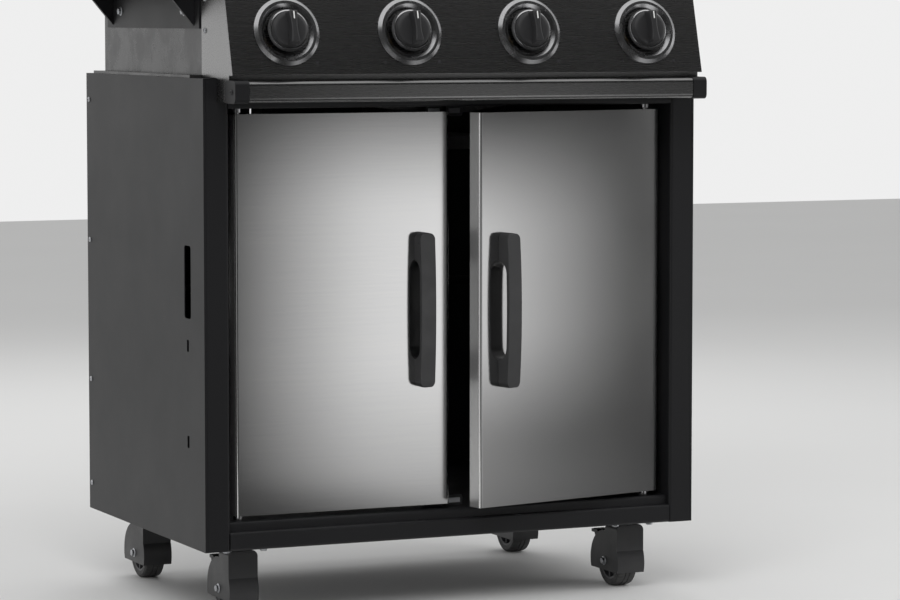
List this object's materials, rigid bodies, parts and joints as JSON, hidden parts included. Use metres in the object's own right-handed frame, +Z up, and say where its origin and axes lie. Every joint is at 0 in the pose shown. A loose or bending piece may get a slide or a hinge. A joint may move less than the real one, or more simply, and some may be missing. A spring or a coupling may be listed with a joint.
{
  "type": "cabinet gas grill",
  "caption": "Gas grill on a two-door cabinet cart: knobbed control panel, firebox with burners and grates, roll-top lid, folding side shelves, grease tray and swivel casters.",
  "frame": {"origin": "on the floor, under the middle of the bounding box", "axes": "+X to the right across the cabinet, +Y from the doors to the back, +Z up"},
  "size_m": [1.378, 0.584, 1.2303],
  "materials": {
    "frame_black": "satin powder coat",
    "door_steel": "brushed",
    "liner_black": "satin",
    "handle_plastic": "moulded, fine texture",
    "plated_steel": "bright plated",
    "valve_brass": "machined",
    "cast_enamel": "satin enamel on a casting",
    "hood_plastic": "moulded",
    "burner_steel": "plain tube",
    "grate_iron": "seasoned",
    "shelf_steel": "brushed",
    "tray_steel": "plain",
    "cup_foil": "foil",
    "dial_face": "matt",
    "gauge_lens": "clear",
    "needle_red": "satin",
    "wheel_tread": "hard tread",
    "brake_red": "moulded"
  },
  "bodies": {
    "cart": {"base_pan": "frame_black", "left_side_panel": "frame_black", "right_side_panel": "frame_black", "back_panel": "frame_black", "front_stiles": "frame_black", "top_rail": "frame_black", "bottom_rail": "frame_black", "door_catches": "handle_plastic", "door_hinge_pins": "plated_steel", "caster_plates": "plated_steel", "control_fascia": "door_steel", "fascia_lip": "door_steel", "lip_caps": "frame_black", "knob_bezels": "plated_steel", "manifold_pipe": "plated_steel", "gas_valves": "valve_brass", "firebox": "cast_enamel", "burner_tubes": "burner_steel", "flame_tamers": "burner_steel", "cooking_grates": "grate_iron", "warming_rack": "plated_steel", "lid_hinge_pins": "plated_steel", "tray_runners": "frame_black", "shelf_brackets": "frame_black"},
    "left_door": {"left_door_skin": "door_steel", "left_door_liner": "liner_black", "left_door_handle": "handle_plastic"},
    "right_door": {"right_door_skin": "door_steel", "right_door_liner": "liner_black", "right_door_handle": "handle_plastic"},
    "lid": {"lid_shell": "door_steel", "lid_ends": "cast_enamel", "lid_handle_bar": "plated_steel", "lid_handle_posts": "cast_enamel", "gauge_case": "plated_steel", "gauge_dial": "dial_face", "gauge_glass": "gauge_lens"},
    "gauge_pointer": {"gauge_needle": "needle_red"},
    "left_side_shelf": {"left_shelf": "shelf_steel"},
    "right_side_shelf": {"right_shelf": "shelf_steel"},
    "tray": {"grease_tray": "tray_steel", "grease_cup": "cup_foil"},
    "valve_1": {"valve_stem_1": "valve_brass"},
    "knob_1": {"control_knob_1": "handle_plastic"},
    "valve_2": {"valve_stem_2": "valve_brass"},
    "knob_2": {"control_knob_2": "handle_plastic"},
    "valve_3": {"valve_stem_3": "valve_brass"},
    "knob_3": {"control_knob_3": "handle_plastic"},
    "valve_4": {"valve_stem_4": "valve_brass"},
    "knob_4": {"control_knob_4": "handle_plastic"},
    "caster_fl": {"caster_fork_fl": "hood_plastic"},
    "wheel_fl": {"caster_wheel_fl": "wheel_tread"},
    "caster_fr": {"caster_fork_fr": "hood_plastic"},
    "wheel_fr": {"caster_wheel_fr": "wheel_tread"},
    "caster_rl": {"caster_fork_rl": "hood_plastic"},
    "wheel_rl": {"caster_wheel_rl": "wheel_tread"},
    "caster_rr": {"caster_fork_rr": "hood_plastic"},
    "wheel_rr": {"caster_wheel_rr": "wheel_tread"},
    "brake_fl": {"brake_lever_fl": "brake_red"},
    "brake_fr": {"brake_lever_fr": "brake_red"}
  },
  "joints": [
    {"name": "left_door_swing", "type": "hinge", "parent": "cart", "child": "left_door", "pos_m": [-0.3195, -0.17274, 0.43], "axis": [0, 0, -1], "range_deg": [0, 95]},
    {"name": "right_door_swing", "type": "hinge", "parent": "cart", "child": "right_door", "pos_m": [0.3195, -0.17274, 0.43], "axis": [0, 0, 1], "range_deg": [-12, 83]},
    {"name": "lid_lift", "type": "hinge", "parent": "cart", "child": "lid", "pos_m": [0, 0.28026, 0.9093], "axis": [-1, 0, 0], "range_deg": [0, 85]},
    {"name": "gauge_needle_turn", "type": "hinge", "parent": "lid", "child": "gauge_pointer", "pos_m": [0, -0.14292, 1.08206], "axis": [0, 0.9659, -0.2588], "range_deg": [0, 270], "stiffness_Nm_per_rad": 0.003},
    {"name": "valve_turn_1", "type": "hinge", "parent": "cart", "child": "valve_1", "pos_m": [-0.276, -0.25321, 0.82396], "axis": [0, -0.9659, 0.2588], "range_deg": [0, 180]},
    {"name": "knob_push_1", "type": "slide", "parent": "valve_1", "child": "knob_1", "axis": [0, 0.9659, -0.2588], "range_m": [0, 0.004], "stiffness_N_per_m": 400, "springref_m": -0.004},
    {"name": "valve_turn_2", "type": "hinge", "parent": "cart", "child": "valve_2", "pos_m": [-0.092, -0.25321, 0.82396], "axis": [0, -0.9659, 0.2588], "range_deg": [0, 180]},
    {"name": "knob_push_2", "type": "slide", "parent": "valve_2", "child": "knob_2", "axis": [0, 0.9659, -0.2588], "range_m": [0, 0.004], "stiffness_N_per_m": 400, "springref_m": -0.004},
    {"name": "valve_turn_3", "type": "hinge", "parent": "cart", "child": "valve_3", "pos_m": [0.092, -0.25321, 0.82396], "axis": [0, -0.9659, 0.2588], "range_deg": [0, 180]},
    {"name": "knob_push_3", "type": "slide", "parent": "valve_3", "child": "knob_3", "axis": [0, 0.9659, -0.2588], "range_m": [0, 0.004], "stiffness_N_per_m": 400, "springref_m": -0.004},
    {"name": "valve_turn_4", "type": "hinge", "parent": "cart", "child": "valve_4", "pos_m": [0.276, -0.25321, 0.82396], "axis": [0, -0.9659, 0.2588], "range_deg": [0, 180]},
    {"name": "knob_push_4", "type": "slide", "parent": "valve_4", "child": "knob_4", "axis": [0, 0.9659, -0.2588], "range_m": [0, 0.004], "stiffness_N_per_m": 400, "springref_m": -0.004},
    {"name": "left_shelf_fold", "type": "hinge", "parent": "cart", "child": "left_side_shelf", "pos_m": [-0.396, 0.05526, 0.885], "axis": [0, -1, 0], "range_deg": [0, 90]},
    {"name": "right_shelf_fold", "type": "hinge", "parent": "cart", "child": "right_side_shelf", "pos_m": [0.396, 0.05526, 0.885], "axis": [0, 1, 0], "range_deg": [0, 90]},
    {"name": "grease_tray_slide", "type": "slide", "parent": "cart", "child": "tray", "axis": [0, 1, 0], "range_m": [0, 0.3]},
    {"name": "caster_swivel_fl", "type": "hinge", "parent": "cart", "child": "caster_fl", "pos_m": [-0.306, -0.13774, 0.1], "axis": [0, 0, 1], "continuous": true},
    {"name": "wheel_roll_fl", "type": "hinge", "parent": "caster_fl", "child": "wheel_fl", "pos_m": [-0.306, -0.11574, 0.038], "axis": [1, 0, 0], "continuous": true},
    {"name": "brake_press_fl", "type": "hinge", "parent": "caster_fl", "child": "brake_fl", "pos_m": [-0.306, -0.07897, 0.07477], "axis": [-1, 0, 0], "range_deg": [0, 20]},
    {"name": "caster_swivel_fr", "type": "hinge", "parent": "cart", "child": "caster_fr", "pos_m": [0.306, -0.13774, 0.1], "axis": [0, 0, 1], "continuous": true},
    {"name": "wheel_roll_fr", "type": "hinge", "parent": "caster_fr", "child": "wheel_fr", "pos_m": [0.306, -0.11574, 0.038], "axis": [1, 0, 0], "continuous": true},
    {"name": "brake_press_fr", "type": "hinge", "parent": "caster_fr", "child": "brake_fr", "pos_m": [0.306, -0.07897, 0.07477], "axis": [-1, 0, 0], "range_deg": [0, 20]},
    {"name": "caster_swivel_rl", "type": "hinge", "parent": "cart", "child": "caster_rl", "pos_m": [-0.306, 0.22226, 0.1], "axis": [0, 0, 1], "continuous": true},
    {"name": "wheel_roll_rl", "type": "hinge", "parent": "caster_rl", "child": "wheel_rl", "pos_m": [-0.306, 0.24426, 0.038], "axis": [1, 0, 0], "continuous": true},
    {"name": "caster_swivel_rr", "type": "hinge", "parent": "cart", "child": "caster_rr", "pos_m": [0.306, 0.22226, 0.1], "axis": [0, 0, 1], "continuous": true},
    {"name": "wheel_roll_rr", "type": "hinge", "parent": "caster_rr", "child": "wheel_rr", "pos_m": [0.306, 0.24426, 0.038], "axis": [1, 0, 0], "continuous": true}
  ]
}
